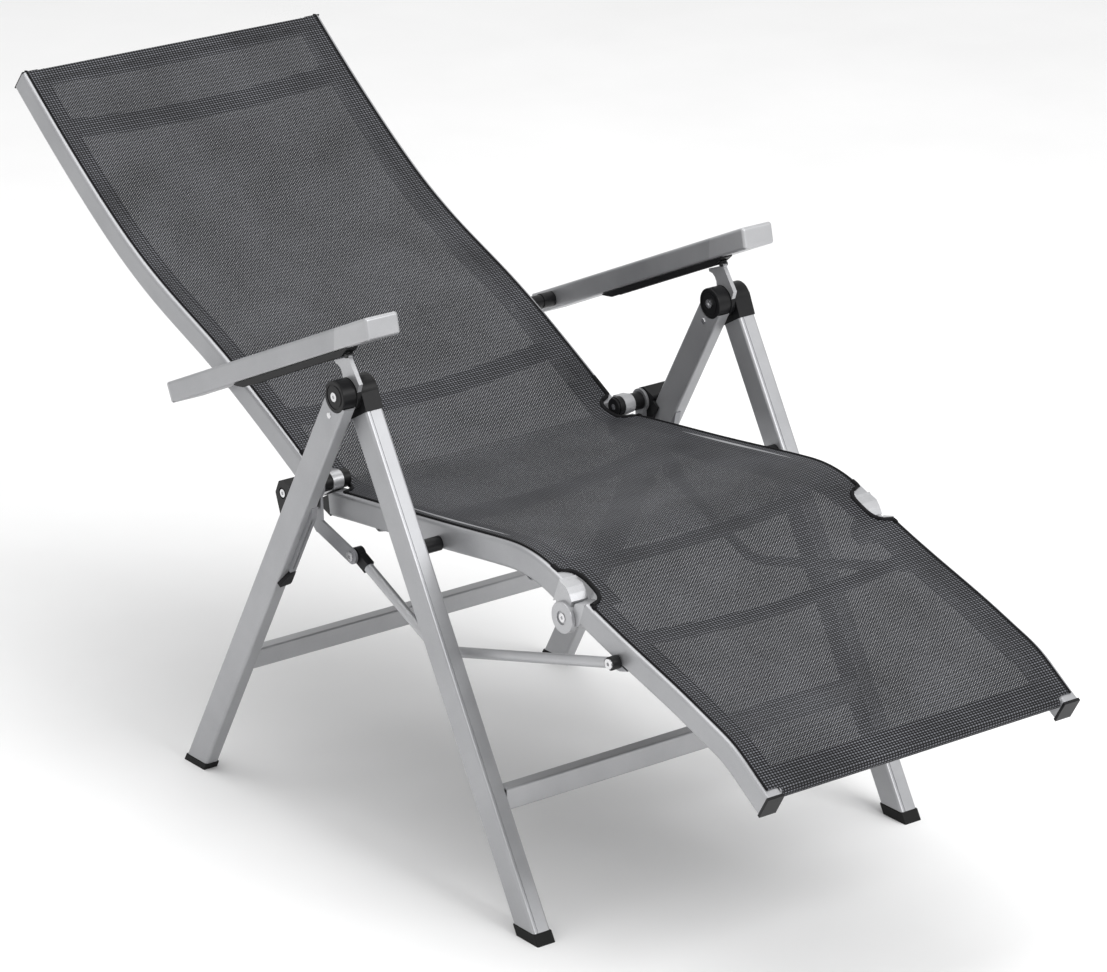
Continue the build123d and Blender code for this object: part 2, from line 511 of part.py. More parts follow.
write("rod_washers", *[cyl(PF, 8.5, k["s"] * 260.7, k["s"] * 262.2) - cyl(PF, BOLT_R + RUN, -400, 400) for k in SIDES.values()])

# ---------------------------------------------------------------- armrests
ARM_S0, ARM_S1 = -46.0, 458.6        # rear and front end along the armrest from its pivot
arm_o = at(PD, AX, AB, 0, 0.0)
hub_a, hub_b = [], []
for side, k in SIDES.items():
    s = k["s"]
    x0, x1 = k["arm"]
    P = lambda a, b: at(arm_o, AX, AB, a, b)
    body = prism([P(ARM_S0 + 4, -ARM_H), P(ARM_S1 - 91, -ARM_H), P(ARM_S1 - 77, ARM_H), P(ARM_S0 + 4, ARM_H)], x0, x1)
    body = soften(body, long_edges(body, AX), 4.0)
    core = prism([P(ARM_S0 - 20, -ARM_H + WALL), P(ARM_S1 + 20, -ARM_H + WALL), P(ARM_S1 + 20, ARM_H - WALL), P(ARM_S0 - 20, ARM_H - WALL)],
                 x0 + WALL, x1 - WALL)
    body = body - core
    inner = x1 if s < 0 else x0
    body = body - cyl(PD, BOLT_R + RUN, inner - 5, inner + 5)
    write("armrest_" + side, one(body))
    cap = prism([P(ARM_S1 - 91, -ARM_H), P(ARM_S1 - 9, -ARM_H), P(ARM_S1 - 3, ARM_H), P(ARM_S1 - 77, ARM_H)], x0, x1)
    tip_face = sorted(cap.faces(), key=lambda f: -(f.center().Y * AX[0] + f.center().Z * AX[1]))[0]
    cap = soften(cap, list(tip_face.edges()) + list(long_edges(cap, AX)), 4.0)
    hollow = prism([P(ARM_S1 - 120, -ARM_H + WALL), P(ARM_S1 - 16, -ARM_H + WALL), P(ARM_S1 - 12, ARM_H - WALL), P(ARM_S1 - 120, ARM_H - WALL)],
                   x0 + WALL, x1 - WALL)
    cap = cap - hollow
    keep("arm_caps_" + side, cap)
    rc = prism([P(ARM_S0 + 4, -ARM_H), P(ARM_S0 + 4, ARM_H), P(ARM_S0 + 0.5, ARM_H - 2.5), P(ARM_S0 + 0.5, -ARM_H + 2.5)], x0, x1)
    keep("arm_caps_" + side, rc)
    # notched catch rail: open channel under the armrest, teeth on its roof
    c = (k["blade"][0] + k["blade"][1]) / 2
    a0, a1 = 116.0, 396.0
    top, bot = -ARM_H, -ARM_H - 8.0
    outer = prism([P(a0, top), P(a1, top), P(a1, bot + 6), P(a1 - 20, bot), P(a0 + 20, bot), P(a0, bot + 6)], c - 8.8, c + 8.8)
    slot = prism([P(a0 + 6, bot - 1), P(a1 - 6, bot - 1), P(a1 - 6, top - 2.6), P(a0 + 6, top - 2.6)], c - 6.1, c + 6.1)
    cr = outer - slot
    sP = (PP[0] - arm_o[0]) * AX[0] + (PP[1] - arm_o[1]) * AX[1]
    for i in range(9):
        g = P(sP - i * 19.0, top - 2.6)
        cr = cr - cyl(g, 1.6, c - 6.1, c + 6.1)
    write("catch_rail_" + side, one(sorted(cr.solids(), key=lambda v: -v.volume)[0]))
    gap0, gap1 = RAIL_OUT, abs(inner)
    m = (gap0 + gap1) / 2
    hub_b.append(cyl(PD, 9.5, s * (gap0 + 0.3), s * (m - 0.15)) - cyl(PD, BOLT_R + RUN, -400, 400))
    hub_a.append(cyl(PD, 10.5, s * (m + 0.15), s * (gap1 - 0.3)) - cyl(PD, BOLT_R + RUN, -400, 400))
write("arm_spacer_discs", *hub_b)
write("arm_pivot_bushes", *hub_a)

# ---------------------------------------------------------------- sling
XF = 240.0


def cloth(line, off, y_lo=None, y_hi=None, half=XF):
    lo, hi = (off, off + CLOTH) if off > 0 else (off - CLOTH, off)
    return band(line, lo, hi, -half, half)


# seat: from in front of the rear hinges to the front knuckles, narrower beside the hinges
seat_cl = cloth(SEAT_LINE, -RAIL_H) if curve_pts(SEAT_LINE, RAIL_H)[5][1] < curve_pts(SEAT_LINE, -RAIL_H)[5][1] else cloth(SEAT_LINE, RAIL_H)
cut = None
for s in (-1, 1):
    seat_cl = seat_cl - cyl(PC, 26.0, s * 214.0, s * 260.0)
    seat_cl = seat_cl - prism([(-336, 430), (-336, 520), (-420, 520), (-420, 430)], s * 216.0, s * 260.0)
write("seat_fabric", one(seat_cl))
back_cl = cloth(BACK_LINE, RAIL_H)
for s in (-1, 1):
    back_cl = back_cl - cyl(PC, 40.0, s * 214.0, s * 260.0)
write("back_fabric", one(back_cl))
foot_cl = cloth(FOOT_LINE, -FOOT_H) if curve_pts(FOOT_LINE, -FOOT_H)[5][1] > curve_pts(FOOT_LINE, FOOT_H)[5][1] else cloth(FOOT_LINE, FOOT_H)
write("foot_fabric", one(foot_cl))

for node, solids in KEPT.items():
    write(node, *solids)
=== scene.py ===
import math

import bpy
import numpy as np
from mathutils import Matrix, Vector


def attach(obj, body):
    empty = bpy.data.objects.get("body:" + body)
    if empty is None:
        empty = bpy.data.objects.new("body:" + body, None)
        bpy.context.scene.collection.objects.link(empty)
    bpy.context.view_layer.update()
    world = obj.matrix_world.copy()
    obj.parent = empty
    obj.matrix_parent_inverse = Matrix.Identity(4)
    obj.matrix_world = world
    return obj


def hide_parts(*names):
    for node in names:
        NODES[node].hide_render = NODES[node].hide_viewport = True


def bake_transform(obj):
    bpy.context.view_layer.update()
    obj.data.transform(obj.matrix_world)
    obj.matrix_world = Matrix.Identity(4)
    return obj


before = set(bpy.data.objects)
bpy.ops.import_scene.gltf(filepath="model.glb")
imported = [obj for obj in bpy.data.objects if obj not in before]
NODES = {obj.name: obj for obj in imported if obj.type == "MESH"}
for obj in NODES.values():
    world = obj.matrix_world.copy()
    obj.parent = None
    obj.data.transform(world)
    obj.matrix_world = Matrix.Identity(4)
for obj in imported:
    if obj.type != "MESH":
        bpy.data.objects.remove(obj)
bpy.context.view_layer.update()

# ------------------------------------------------------------------ measures, in mm, as in the CAD source
XC, YC = 3.2, 60.18
RAIL_H, FOOT_H = 17.0, 16.0
PC, PE = (135.0, 447.0), (-365.0, 421.0)
BACK_LINE = [(172, 427), (290, 490), (405, 545), (520, 591), (600, 630), (700, 693), (790, 758), (862, 814)]
SEAT_LINE = [(134, 417), (29, 430), (-57, 440), (-150, 452), (-234, 463), (-275, 466), (-316, 461), (-348, 451)]
FOOT_LINE = [(-398, 434), (-473, 410), (-532, 393), (-589, 376), (-640, 359), (-675, 346), (-705, 328), (-742, 304)]
HALF = 240.0


def row(p):
    return Vector(((p[0] - XC) / 1000, (p[1] - YC) / 1000, p[2] / 1000))


# ------------------------------------------------------------------ materials
def new_mat(name):
    m = bpy.data.materials.new(name)
    m.use_nodes = True
    nt = m.node_tree
    for n in list(nt.nodes):
        nt.nodes.remove(n)
    out = nt.nodes.new("ShaderNodeOutputMaterial")
    b = nt.nodes.new("ShaderNodeBsdfPrincipled")
    nt.links.new(b.outputs[0], out.inputs[0])
    return m, nt, b


def node(nt, kind, **vals):
    n = nt.nodes.new(kind)
    for k, v in vals.items():
        setattr(n, k, v)
    return n


def math_node(nt, op, a, b=None, c=None):
    n = nt.nodes.new("ShaderNodeMath")
    n.operation = op
    for i, v in enumerate((a, b, c)):
        if v is None:
            continue
        if isinstance(v, (int, float)):
            n.inputs[i].default_value = v
        else:
            nt.links.new(v, n.inputs[i])
    return n.outputs[0]


def noise(nt, vec, scale, detail=3.0, rough=0.5):
    n = nt.nodes.new("ShaderNodeTexNoise")
    n.inputs["Scale"].default_value = scale
    n.inputs["Detail"].default_value = detail
    n.inputs["Roughness"].default_value = rough
    nt.links.new(vec, n.inputs["Vector"])
    return n.outputs["Fac"]


def ramp(nt, fac, a, b, ca, cb):
    r = nt.nodes.new("ShaderNodeValToRGB")
    r.color_ramp.elements[0].position = a
    r.color_ramp.elements[1].position = b
    r.color_ramp.elements[0].color = (*ca, 1)
    r.color_ramp.elements[1].color = (*cb, 1)
    nt.links.new(fac, r.inputs[0])
    return r.outputs[0]


def remap(nt, fac, a, b, c, d):
    r = nt.nodes.new("ShaderNodeMapRange")
    for i, v in enumerate((a, b, c, d)):
        r.inputs[1 + i].default_value = v
    nt.links.new(fac, r.inputs[0])
    return r.outputs[0]


def bump(nt, height, strength, dist, bsdf):
    b = nt.nodes.new("ShaderNodeBump")
    b.inputs["Strength"].default_value = strength
    b.inputs["Distance"].default_value = dist
    nt.links.new(height, b.inputs["Height"])
    nt.links.new(b.outputs[0], bsdf.inputs["Normal"])


def surface(name, dark, light, rough, metal, grain=900.0, depth=0.00004, blot=14.0, spread=0.06, stretch=None, sheen=0.5):
    """A painted, cast or moulded surface: soft blotches in the colour, a fine grain in the relief and the roughness."""
    m, nt, b = new_mat(name)
    tc = nt.nodes.new("ShaderNodeTexCoord")
    vec = tc.outputs["Object"]
    gvec = vec
    if stretch:
        mp = nt.nodes.new("ShaderNodeMapping")
        mp.inputs["Scale"].default_value = stretch
        nt.links.new(vec, mp.inputs["Vector"])
        gvec = mp.outputs[0]
    big = noise(nt, vec, blot, 4.0, 0.55)
    fine = noise(nt, gvec, grain, 2.0, 0.6)
    mixed = math_node(nt, "ADD", math_node(nt, "MULTIPLY", big, 0.6), math_node(nt, "MULTIPLY", fine, 0.4))
    nt.links.new(ramp(nt, mixed, 0.36, 0.66, dark, light), b.inputs["Base Color"])
    nt.links.new(remap(nt, mixed, 0.3, 0.7, rough - spread, rough + spread), b.inputs["Roughness"])
    b.inputs["Metallic"].default_value = metal
    b.inputs["Specular IOR Level"].default_value = sheen
    bump(nt, fine, 0.35, depth, b)
    return m


SILVER = surface("Silver lacquer", (0.33, 0.333, 0.345), (0.40, 0.403, 0.415), 0.40, 0.55, 1400.0)
# Lighter copy of the silver: a lighter silver on the arm caps, and painted light on the crossbars and link rods,
# brightening them against the shade the seat casts and standing in for the rods' highlights.
SILVER_CAPS_AND_PAINTED_LIGHT = surface("Silver arm", (0.40, 0.403, 0.415), (0.47, 0.473, 0.485), 0.38, 0.5, 1400.0)
SILVER_DARK = surface("Silver tube, duller", (0.24, 0.243, 0.255), (0.31, 0.313, 0.325), 0.42, 0.6, 1200.0)
CAST = surface("Cast aluminium", (0.40, 0.403, 0.415), (0.49, 0.493, 0.505), 0.34, 0.65, 700.0, 0.00008)
BLACK = surface("Black moulding", (0.004, 0.004, 0.0044), (0.010, 0.010, 0.011), 0.38, 0.0, 1100.0, 0.00006, sheen=0.22)
PIN = surface("Blackened steel", (0.02, 0.02, 0.021), (0.045, 0.045, 0.047), 0.4, 0.6, 900.0, 0.00004)
RUBBER = surface("Black rubber", (0.004, 0.004, 0.004), (0.010, 0.010, 0.010), 0.62, 0.0, 700.0, 0.00010, sheen=0.2)
STEEL = surface("Plated steel", (0.62, 0.62, 0.63), (0.78, 0.78, 0.79), 0.22, 1.0, 500.0, 0.00003, 40.0, 0.07)
PIPING = surface("Black piping", (0.003, 0.003, 0.0035), (0.008, 0.008, 0.009), 0.7, 0.0, 2200.0, 0.00012, sheen=0.15)


def weave(name, open_share, tint, highlight_gain, pitch=(2.5, 2.0)):
    """An open mesh of flat threads: each cell shows the warp or the weft on top in turn, with a small hole at its corner."""
    m, nt, b = new_mat(name)
    uv = nt.nodes.new("ShaderNodeUVMap")
    uv.uv_map = "UVMap"
    sep = nt.nodes.new("ShaderNodeSeparateXYZ")
    nt.links.new(uv.outputs[0], sep.inputs[0])
    u = math_node(nt, "MULTIPLY", sep.outputs[0], 1000.0 / pitch[0])
    v = math_node(nt, "MULTIPLY", sep.outputs[1], 1000.0 / pitch[1])
    fu, fv = math_node(nt, "FRACT", u), math_node(nt, "FRACT", v)
    parity = math_node(nt, "MODULO", math_node(nt, "ADD", math_node(nt, "FLOOR", u), math_node(nt, "FLOOR", v)), 2.0)
    parity = math_node(nt, "ABSOLUTE", parity)
    du = math_node(nt, "ABSOLUTE", math_node(nt, "SUBTRACT", fu, 0.5))
    dv = math_node(nt, "ABSOLUTE", math_node(nt, "SUBTRACT", fv, 0.5))
    # thread that is on top in this cell: rounded along its own direction
    warp = math_node(nt, "SUBTRACT", 1.0, math_node(nt, "ADD", math_node(nt, "MULTIPLY", math_node(nt, "POWER", du, 2.0), 3.4),
                                                      math_node(nt, "MULTIPLY", math_node(nt, "POWER", dv, 2.0), 1.4)))
    weft = math_node(nt, "SUBTRACT", 1.0, math_node(nt, "ADD", math_node(nt, "MULTIPLY", math_node(nt, "POWER", du, 2.0), 1.4),
                                                      math_node(nt, "MULTIPLY", math_node(nt, "POWER", dv, 2.0), 3.4)))
    mixh = nt.nodes.new("ShaderNodeMix")
    mixh.data_type = "FLOAT"
    nt.links.new(parity, mixh.inputs[0])
    nt.links.new(warp, mixh.inputs[2])
    nt.links.new(weft, mixh.inputs[3])
    height = mixh.outputs[0]
    # holes at the corners of the cells
    side = 0.5 - 0.5 * math.sqrt(open_share)
    hu, hv = math_node(nt, "GREATER_THAN", du, side), math_node(nt, "GREATER_THAN", dv, side)
    hole = math_node(nt, "MULTIPLY", hu, hv)
    alpha = math_node(nt, "SUBTRACT", 1.0, hole)
    tc = nt.nodes.new("ShaderNodeTexCoord")
    blot = noise(nt, tc.outputs["Object"], 9.0, 4.0, 0.6)
    fine = noise(nt, tc.outputs["Object"], 420.0, 2.0, 0.6)
    # painted highlight: brightest at the middle of each cell, falling off towards its edges as painted shade
    dot_highlight = math_node(nt, "SUBTRACT", 1.0, math_node(nt, "ADD", math_node(nt, "MULTIPLY", math_node(nt, "POWER", du, 2.0), 3.0),
                                                   math_node(nt, "MULTIPLY", math_node(nt, "POWER", dv, 2.0), 4.4)))
    rows = math_node(nt, "MULTIPLY", math_node(nt, "MODULO", math_node(nt, "FLOOR", v), 2.0), 0.10)
    shade = math_node(nt, "ADD", math_node(nt, "ADD", math_node(nt, "MULTIPLY", remap(nt, dot_highlight, 0.25, 1.0, 0.0, 1.0), 0.78), rows),
                      math_node(nt, "MULTIPLY", fine, 0.22))
    shade = math_node(nt, "MULTIPLY", shade, remap(nt, blot, 0.3, 0.7, 0.88, 1.12))
    # dark yarn, with painted light on it: each cell is brightest at its middle, a painted highlight where the thread
    # rises, and darkest at its edges, painted shade between the threads, so the highlights show as rows of dots
    r = nt.nodes.new("ShaderNodeValToRGB")
    stops = r.color_ramp.elements
    stops[0].position, stops[0].color = 0.12, (*(c * 0.16 for c in tint), 1)
    stops[1].position, stops[1].color = 1.0, (*(min(1, c * highlight_gain) for c in tint), 1)
    mid = stops.new(0.52)
    mid.color = (*(c * 0.85 for c in tint), 1)
    nt.links.new(shade, r.inputs[0])
    nt.links.new(r.outputs[0], b.inputs["Base Color"])
    b.inputs["Specular IOR Level"].default_value = 0.16
    nt.links.new(alpha, b.inputs["Alpha"])
    nt.links.new(remap(nt, height, 0.2, 1.0, 0.62, 0.46), b.inputs["Roughness"])
    bump(nt, height, 0.5, 0.0002, b)
    m.use_backface_culling = False
    return m


SLING = weave("Sling mesh", 0.034, (0.022, 0.0225, 0.025), 7.8, (4.4, 3.5))
# The seat's copy of the mesh: fewer holes, and a brighter dot colour that is painted light on the seat.
SLING_SEAT_LIT = weave("Sling mesh, seat, lighter as painted light", 0.014, (0.022, 0.0225, 0.025), 8.4, (4.4, 3.5))
# The turned-under layer: the same mesh with a darker yarn and no holes; the darkening is painted shade, standing for
# the light the upper layer keeps off it.
HEM_PAINTED_SHADE = weave("Sling mesh, lower layer, darkened as painted shade", 0.0, (0.008, 0.0082, 0.009), 2.0, (4.4, 3.5))

PAINT = {}
for names, mat in (
        (("front_leg_left", "front_leg_right", "back_rail_left", "back_rail_right", "seat_rail_left", "seat_rail_right",
          "foot_rail_left", "foot_rail_right", "rear_leg_left", "rear_leg_right", "armrest_left", "armrest_right"), SILVER),
        # crossbars and link rods take the lighter silver as painted light
        (("arm_caps_left", "arm_caps_right", "front_crossbar", "rear_crossbar", "link_rods"), SILVER_CAPS_AND_PAINTED_LIGHT),
        (("link_arms", "link_brackets", "guide_strips", "seat_cross_tubes", "back_cross_tubes", "back_top_bar", "foot_cross_tubes"), SILVER_DARK),
        (("seat_front_knuckles", "foot_knuckles", "back_knuckles", "catch_blades"), CAST),
        (("front_top_caps", "rear_hubs", "seat_pivot_spacers", "guide_tips", "slide_housings",
          "seat_rear_fittings", "rear_hinge_bushes", "link_arm_spacers", "rod_rear_ends", "rod_front_ends",
          "arm_spacer_discs", "arm_pivot_bushes", "catch_rail_left", "catch_rail_right", "rod_washers",
          "front_hinge_washers", "back_end_caps", "foot_end_caps"), BLACK),
        (("front_feet", "rear_feet"), RUBBER),
        (("catch_pins",), PIN),
        (("top_hinge_bolts", "seat_pivot_bolts", "rear_hub_rivets", "rear_hinge_bolts", "front_hinge_bolts",
          "arm_pivot_bolts", "rod_rear_bolts", "rod_front_bolts"), STEEL),
        (("seat_fabric", "back_fabric", "foot_fabric"), SLING)):
    for n in names:
        PAINT[n] = mat
for n, o in NODES.items():
    o.data.materials.clear()
    o.data.materials.append(PAINT[n])


# ------------------------------------------------------------------ curves of the sling
def spline(points, n):
    """Natural cubic through the points on chord length, n + 1 samples of (y, z) and the direction."""
    p = np.array(points, float)
    t = np.concatenate([[0], np.cumsum(np.linalg.norm(np.diff(p, axis=0), axis=1))])
    h = np.diff(t)
    k = len(p)
    a = np.zeros((k, k))
    r = np.zeros((k, 2))
    a[0, 0] = a[-1, -1] = 1
    for i in range(1, k - 1):
        a[i, i - 1], a[i, i], a[i, i + 1] = h[i - 1], 2 * (h[i - 1] + h[i]), h[i]
        r[i] = 6 * ((p[i + 1] - p[i]) / h[i] - (p[i] - p[i - 1]) / h[i - 1])
    m = np.linalg.solve(a, r)
    out, dirs = [], []
    for x in np.linspace(0, t[-1], n + 1):
        i = min(int(np.searchsorted(t, x, side="right")) - 1, k - 2)
        i = max(i, 0)
        u, w = x - t[i], t[i + 1] - x
        q = (m[i] * w ** 3 + m[i + 1] * u ** 3) / (6 * h[i]) + (p[i] / h[i] - m[i] * h[i] / 6) * w + (p[i + 1] / h[i] - m[i + 1] * h[i] / 6) * u
        d = (-m[i] * w ** 2 + m[i + 1] * u ** 2) / (2 * h[i]) - p[i] / h[i] + m[i] * h[i] / 6 + p[i + 1] / h[i] - m[i + 1] * h[i] / 6
        out.append(q)
        dirs.append(d / np.linalg.norm(d))
    return np.array(out), np.array(dirs)


def over(points, off, n):
    """The line of the cloth, off above the middle line of the rails, from the rear to the front."""
    q, d = spline(points, n)
    if q[-1][0] > q[0][0]:
        q, d = q[::-1], -d[::-1]
    return q + np.stack([d[:, 1], -d[:, 0]], axis=1) * off


def hermite(a, da, b, db, n, pull=1.0):
    s = np.linalg.norm(b - a) * pull
    out = []
    for t in np.linspace(0, 1, n + 1)[1:-1]:
        h = (2 * t ** 3 - 3 * t ** 2 + 1, t ** 3 - 2 * t ** 2 + t, -2 * t ** 3 + 3 * t ** 2, t ** 3 - t ** 2)
        out.append(h[0] * a + h[1] * s * da + h[2] * b + h[3] * s * db)
    return np.array(out)


def heading(q, i, j):
    d = q[j] - q[i]
    return d / np.linalg.norm(d)


LIFT = 0.9
back = over(BACK_LINE, RAIL_H + LIFT, 150)
seat = over(SEAT_LINE, RAIL_H + LIFT, 100)
foot = over(FOOT_LINE, FOOT_H + LIFT, 76)
seat = seat[(seat[:, 0] < 116) & (seat[:, 0] > -342)]
back = back[back[:, 0] > 178]
foot = foot[foot[:, 0] < -402]
along_foot = np.concatenate([[0], np.cumsum(np.linalg.norm(np.diff(foot, axis=0), axis=1))])
foot = foot[along_foot < along_foot[-1] - 8.5]
gap1 = hermite(back[-1], heading(back, -2, -1), seat[0], heading(seat, 0, 1), 16)
gap2 = hermite(seat[-1], heading(seat, -2, -1), foot[0], heading(foot, 0, 1), 16)
top_dir = heading(back, 1, 0)
top_n = np.array([-top_dir[1], top_dir[0]])
wrap_top = np.array([back[0] + top_dir * 3.4 * math.sin(a) - top_n * 3.4 * (1 - math.cos(a)) for a in np.radians([150, 120, 90, 60, 30])])
end_dir = heading(foot, -2, -1)
end_n = np.array([end_dir[1], -end_dir[0]])
end_n = end_n if end_n[1] < 0 else -end_n
END_R = FOOT_H + LIFT - 8.0
wrap_end = np.array([foot[-1] + end_dir * END_R * math.sin(a) + end_n * END_R * (1 - math.cos(a)) for a in np.radians(range(15, 181, 15))])
LINE = np.concatenate([wrap_top, back, gap1, seat, gap2, foot, wrap_end])
ARC = np.concatenate([[0], np.cumsum(np.linalg.norm(np.diff(LINE, axis=0), axis=1))])


def at_y(y):
    """Arc length where the cloth passes that y."""
    ys = LINE[6:-14, 0]
    return float(np.interp(-y, -ys, ARC[6:-14]))


def place(s):
    return np.array([np.interp(s, ARC, LINE[:, 0]), np.interp(s, ARC, LINE[:, 1])])


def normal(s):
    d = place(s + 1.5) - place(s - 1.5)
    d = d / max(np.linalg.norm(d), 1e-9)
    return np.array([d[1], -d[0]])


S_TOP, S_END = 0.0, float(ARC[-1])
S_BACK = at_y(206)
S_MID1 = at_y(146)
S_SEAT = at_y(104)
S_SEAT2 = at_y(-330)
S_MID2 = at_y(-370)
S_FOOT = at_y(-416)
S_WRAP = float(ARC[len(ARC) - len(wrap_end) - 1])      # from here the cloth goes round the front bar, between the rails
CUTS = [(at_y(172), at_y(110), 23.0), (at_y(-343), at_y(-408), 23.5)]


def half(s):
    """Half width of the cloth: it is cut back in a rounded notch beside each hinge."""
    w = HALF
    for a, b, depth in CUTS:
        m, r = (a + b) / 2, (b - a) / 2
        t = abs(s - m) / r
        if t < 1:
            w = min(w, HALF - depth * (1 - t ** 3.0) ** 0.45)
    if s > S_WRAP:
        w = min(w, 219.5)
    return w


def sag(s, x):
    """The cloth hangs a little between its rails, more in the middle of each panel."""
    k = 1 - (x / HALF) ** 2
    a = math.sin(math.pi * min(max((s - S_TOP) / (S_MID1 - S_TOP), 0), 1)) if s < S_MID1 else (
        math.sin(math.pi * (s - S_MID1) / (S_MID2 - S_MID1)) if s < S_MID2 else
        math.sin(math.pi * (s - S_MID2) / (S_END - S_MID2)))
    hang = k * (2.0 + (5.0 if s < S_MID1 else 8.0 if s < S_MID2 else 3.0) * max(a, 0))
    return hang * min(1.0, max(0.0, (S_WRAP - s) / 50)) * min(1.0, max(0.0, (s - S_TOP - 8) / 50))


def point(s, x, off=0.0):
    p, n = place(s), normal(s)
    q = p + n * (off - sag(s, x))
    return row((x, q[0], q[1]))


def mesh_object(name, verts, faces, uvs, mat, smooth=True):
    me = bpy.data.meshes.new(name)
    me.from_pydata([tuple(v) for v in verts], [], faces)
    if uvs is not None:
        lay = me.uv_layers.new(name="UVMap")
        for poly in me.polygons:
            for li in poly.loop_indices:
                lay.data[li].uv = uvs[me.loops[li].vertex_index]
    me.materials.append(mat)
    if smooth:
        for poly in me.polygons:
            poly.use_smooth = True
    me.update()
    o = bpy.data.objects.new(name, me)
    bpy.context.scene.collection.objects.link(o)
    return o


def steps(a, b, size):
    n = max(2, int(math.ceil((b - a) / size)))
    return [a + (b - a) * i / n for i in range(n + 1)]


def cloth(name, a, b, mat, size=9.0, cols=40, off=0.0):
    ss = steps(a, b, size)
    if a < S_WRAP < b:
        ss = steps(a, S_WRAP, size) + [S_WRAP + 0.01] + steps(S_WRAP + 0.01, b, 2.5)[1:]
    verts, uvs, faces = [], [], []
    for s in ss:
        w = half(s)
        for j in range(cols + 1):
            x = -w + 2 * w * j / cols
            verts.append(point(s, x, off))
            uvs.append((x / 1000 + 1, s / 1000 + 1))
    for i in range(len(ss) - 1):
        for j in range(cols):
            k = i * (cols + 1) + j
            faces.append((k, k + 1, k + cols + 2, k + cols + 1))
    o = mesh_object(name, verts, faces, uvs, mat)
    return o, ss


def ribbon(name, bands, off=-1.6, size=9.0, mat=None):
    """The turned-over second layer along an edge: bands of (s0, s1, inner x of the left side, outer x) or whole widths."""
    verts, uvs, faces = [], [], []
    for s0, s1, xa, xb in bands:
        ss = steps(s0, s1, size)
        base = len(verts)
        cols = 4 if abs(xb - xa) < 100 else 40
        for s in ss:
            w = half(s)
            lo, hi = (max(-w, xa), max(-w + 0.5, xb)) if xa < 0 and xb < 0 else ((min(w - 0.5, xa), min(w, xb)) if xa > 0 and xb > 0 else (-w, w))
            for j in range(cols + 1):
                x = lo + (hi - lo) * j / cols
                verts.append(point(s, x, off))
                uvs.append((x / 1000 + 1.00083, s / 1000 + 1.0007))
        for i in range(len(ss) - 1):
            for j in range(cols):
                k = base + i * (cols + 1) + j
                faces.append((k, k + 1, k + cols + 2, k + cols + 1))
    o = mesh_object(name, verts, faces, uvs, mat or HEM_PAINTED_SHADE)
    return o


def tube(name, lines, r, mat, sides=8):
    verts, faces = [], []
    for pts in lines:
        base = len(verts)
        n = len(pts)
        for i, p in enumerate(pts):
            d = (pts[min(i + 1, n - 1)] - pts[max(i - 1, 0)]).normalized()
            up = Vector((1, 0, 0)) if abs(d.x) < 0.8 else Vector((0, 0, 1))
            a = d.cross(up).normalized()
            c = d.cross(a).normalized()
            for k in range(sides):
                t = 2 * math.pi * k / sides
                verts.append(p + (a * math.cos(t) + c * math.sin(t)) * r / 1000)
        for i in range(n - 1):
            for k in range(sides):
                v0, v1 = base + i * sides + k, base + i * sides + (k + 1) % sides
                faces.append((v0, v1, v1 + sides, v0 + sides))
        faces.append(tuple(base + k for k in range(sides))[::-1])
        faces.append(tuple(base + (n - 1) * sides + k for k in range(sides)))
    return mesh_object(name, verts, faces, None, mat)


def edge_lines(a, b, off=0.0, inset=0.6):
    ss = steps(a, b, 4.0)
    return [[point(s, sgn * (half(s) - inset), off) for s in ss] for sgn in (-1, 1)]


panels = []
HEM_X = 212.0
for name, a, b, body, node_name in (("sling_back", S_TOP, S_BACK, "backrest", "back_fabric"),
                                    ("sling_seat", S_SEAT, S_SEAT2, "seat", "seat_fabric"),
                                    ("sling_foot", S_FOOT, S_END, "footrest", "foot_fabric")):
    o, ss = cloth(name, a, b, SLING_SEAT_LIT if body == "seat" else SLING, 9.0, 44)
    bands = [(a, b, -HALF, -HEM_X), (a, b, HEM_X, HALF)]
    if name == "sling_back":
        bands += [(a + 2, a + 29, -HALF, HALF)]
    if name == "sling_foot":
        bands += [(S_WRAP - 30, S_WRAP, -HALF, HALF)]
    h = ribbon(name + "_hem", bands)
    e = tube(name + "_piping", edge_lines(a, b if body != "footrest" else S_WRAP), 1.5, PIPING)
    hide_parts(node_name)
    for p in (o, h, e):
        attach(p, body)

for name, a, b, ba, bb, back_side in (("sling_rear_bend_upper", S_BACK, S_MID1, "backrest", "back_bush", True),
                                      ("sling_rear_bend_lower", S_MID1, S_SEAT, "back_bush", "seat", False),
                                      ("sling_front_bend_rear", S_SEAT2, S_MID2, "seat", "footrest_washers", True),
                                      ("sling_front_bend_front", S_MID2, S_FOOT, "footrest_washers", "footrest", False)):
    o, ss = cloth(name, a, b, SLING_SEAT_LIT if name == "sling_rear_bend_lower" else SLING, 2.5, 44)
    h = ribbon(name + "_hem", [(a, b, -HALF, -HEM_X + 18), (a, b, HEM_X - 18, HALF)], size=2.5)
    e = tube(name + "_piping", edge_lines(a, b), 3.0, PIPING)
    for p in (o, h, e):
        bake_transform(p)

# seams: rows of stitching along the hems
STITCH = surface("Black thread", (0.02, 0.02, 0.022), (0.045, 0.045, 0.05), 0.6, 0.0, 2500.0, 0.0001)


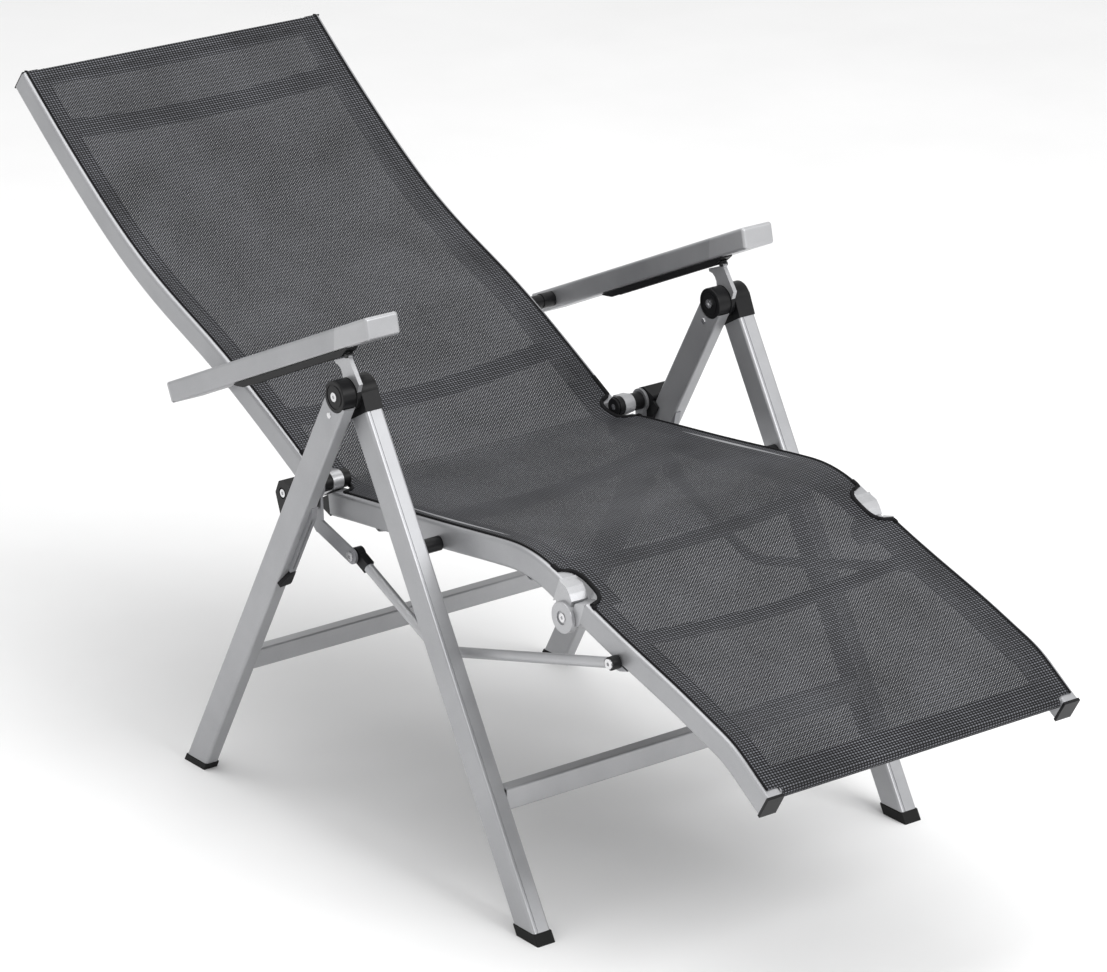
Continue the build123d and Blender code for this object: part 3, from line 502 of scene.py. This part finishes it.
def stitches(name, runs):
    verts, faces = [], []
    for pts in runs:
        acc = 0.0
        for p, q, nrm in pts:
            d = (q - p)
            if d.length < 1e-6:
                continue
            t = d.normalized()
            side = t.cross(nrm).normalized() * 0.00035
            up = nrm * 0.0004
            k = len(verts)
            verts += [p - side, q - side, q + side, p + side, p + t * 0.0006 + up, q - t * 0.0006 + up]
            faces += [(k, k + 1, k + 5, k + 4), (k + 3, k + 4, k + 5, k + 2), (k, k + 4, k + 3), (k + 1, k + 2, k + 5)]
    return mesh_object(name, verts, faces, None, STITCH, False)


def along(a, b, x, pitch=4.0, gap=1.3):
    out, s = [], a
    while s + pitch < b:
        n = normal(s + pitch / 2)
        out.append((point(s, x, 0.25), point(s + pitch - gap, x, 0.25), Vector((0, n[0], n[1]))))
        s += pitch
    return out


def across(s, xa, xb, pitch=4.0, gap=1.3):
    out, x = [], xa
    n = normal(s)
    while x + pitch < xb:
        out.append((point(s, x, 0.25), point(s, x + pitch - gap, 0.25), Vector((0, n[0], n[1]))))
        x += pitch
    return out


for name, a, b, body in (("seam_back", S_TOP + 8, S_BACK, "backrest"), ("seam_seat", S_SEAT, S_SEAT2, "seat"), ("seam_foot", S_FOOT, S_WRAP, "footrest")):
    runs = [along(a, b, -HEM_X - 1.5), along(a, b, HEM_X + 1.5)]
    if body == "backrest":
        runs.append(across(S_TOP + 27, -HALF + 4, HALF - 4))
    if body == "footrest":
        runs.append(across(S_WRAP - 28, -HALF + 4, HALF - 4))
    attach(stitches(name, runs), body)

# ------------------------------------------------------------------ floor, light, camera
floor_m, nt, b = new_mat("Pale floor")
tc = nt.nodes.new("ShaderNodeTexCoord")
nz = noise(nt, tc.outputs["Object"], 3.0, 3.0)
nt.links.new(ramp(nt, nz, 0.3, 0.7, (0.86, 0.86, 0.86), (0.89, 0.89, 0.89)), b.inputs["Base Color"])
b.inputs["Roughness"].default_value = 0.9
floor = mesh_object("Floor", [(-40, -40, 0), (40, -40, 0), (40, 40, 0), (-40, 40, 0)], [(0, 1, 2, 3)], None, floor_m, False)

world = bpy.data.worlds.new("Studio")
bpy.context.scene.world = world
world.use_nodes = True
world.node_tree.nodes["Background"].inputs[0].default_value = (1, 1, 1, 1)
world.node_tree.nodes["Background"].inputs[1].default_value = 0.74


def area(name, where, target, size, power, colour=(1, 1, 1)):
    l = bpy.data.lights.new(name, "AREA")
    l.shape = "RECTANGLE"
    l.size, l.size_y = size
    l.energy = power
    l.color = colour
    o = bpy.data.objects.new(name, l)
    bpy.context.scene.collection.objects.link(o)
    o.location = where
    o.rotation_euler = (Vector(target) - Vector(where)).to_track_quat("-Z", "Y").to_euler()
    return o


area("Key", (0.9, -4.4, 3.4), (0, 0, 0.45), (3.0, 2.2), 165)
area("Top", (0.0, 0.6, 4.6), (0, 0, 0.4), (4.5, 3.5), 105)
area("Left", (-4.8, 0.2, 1.6), (0, 0, 0.45), (2.6, 2.2), 16)

cam = bpy.data.cameras.new("Camera")
cam.sensor_fit = "HORIZONTAL"
cam.sensor_width = 36.0
cam.lens = 5050.26 / 1107 * 36.0
cam.clip_end = 100.0
co = bpy.data.objects.new("Camera", cam)
bpy.context.scene.collection.objects.link(co)
co.location = row((-3700.3, -4865.6, 2732.0))
yaw, pitch = math.radians(37.36), math.radians(20.68)
co.rotation_euler = Vector((math.sin(yaw) * math.cos(pitch), math.cos(yaw) * math.cos(pitch), -math.sin(pitch))).to_track_quat("-Z", "Y").to_euler()
bpy.context.scene.camera = co
bpy.context.scene.view_settings.view_transform = "Standard"
bpy.context.scene.view_settings.look = "None"
bpy.context.scene.view_settings.exposure = 0.0
